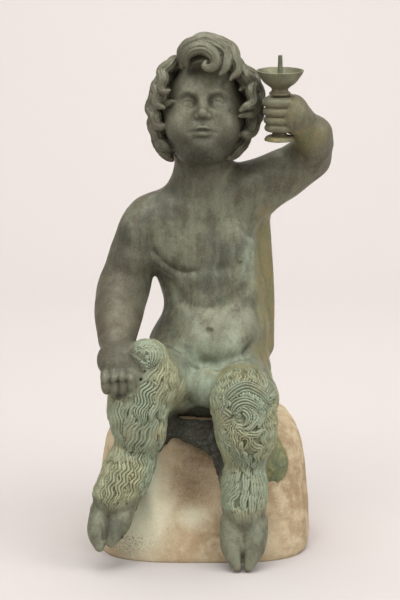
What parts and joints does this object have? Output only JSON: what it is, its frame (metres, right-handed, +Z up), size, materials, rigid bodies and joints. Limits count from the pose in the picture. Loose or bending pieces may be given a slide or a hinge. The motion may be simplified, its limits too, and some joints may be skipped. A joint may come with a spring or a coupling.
{
  "type": "bronze satyr statue",
  "caption": "Seated young satyr with goat legs on a rough boulder, one fist on the knee, the other hand holding up a small candle cup.",
  "frame": {"origin": "middle of the stone's flat underside, on the floor", "axes": "+Z up, the figure's front toward -Y, its raised left hand toward +X"},
  "size_m": [0.3302, 0.2782, 0.7002],
  "materials": {
    "bronze_patina": "weathered grey-green bronze patina with pale verdigris on the fur and ochre runs",
    "sandy_stone": "worn sandy stone, brown in the front hollow, with a pale green run"
  },
  "bodies": {
    "root": {"satyr_figure": "bronze_patina", "candle_cup": "bronze_patina", "pricket": "bronze_patina", "stone_base": "sandy_stone"}
  },
  "joints": []
}
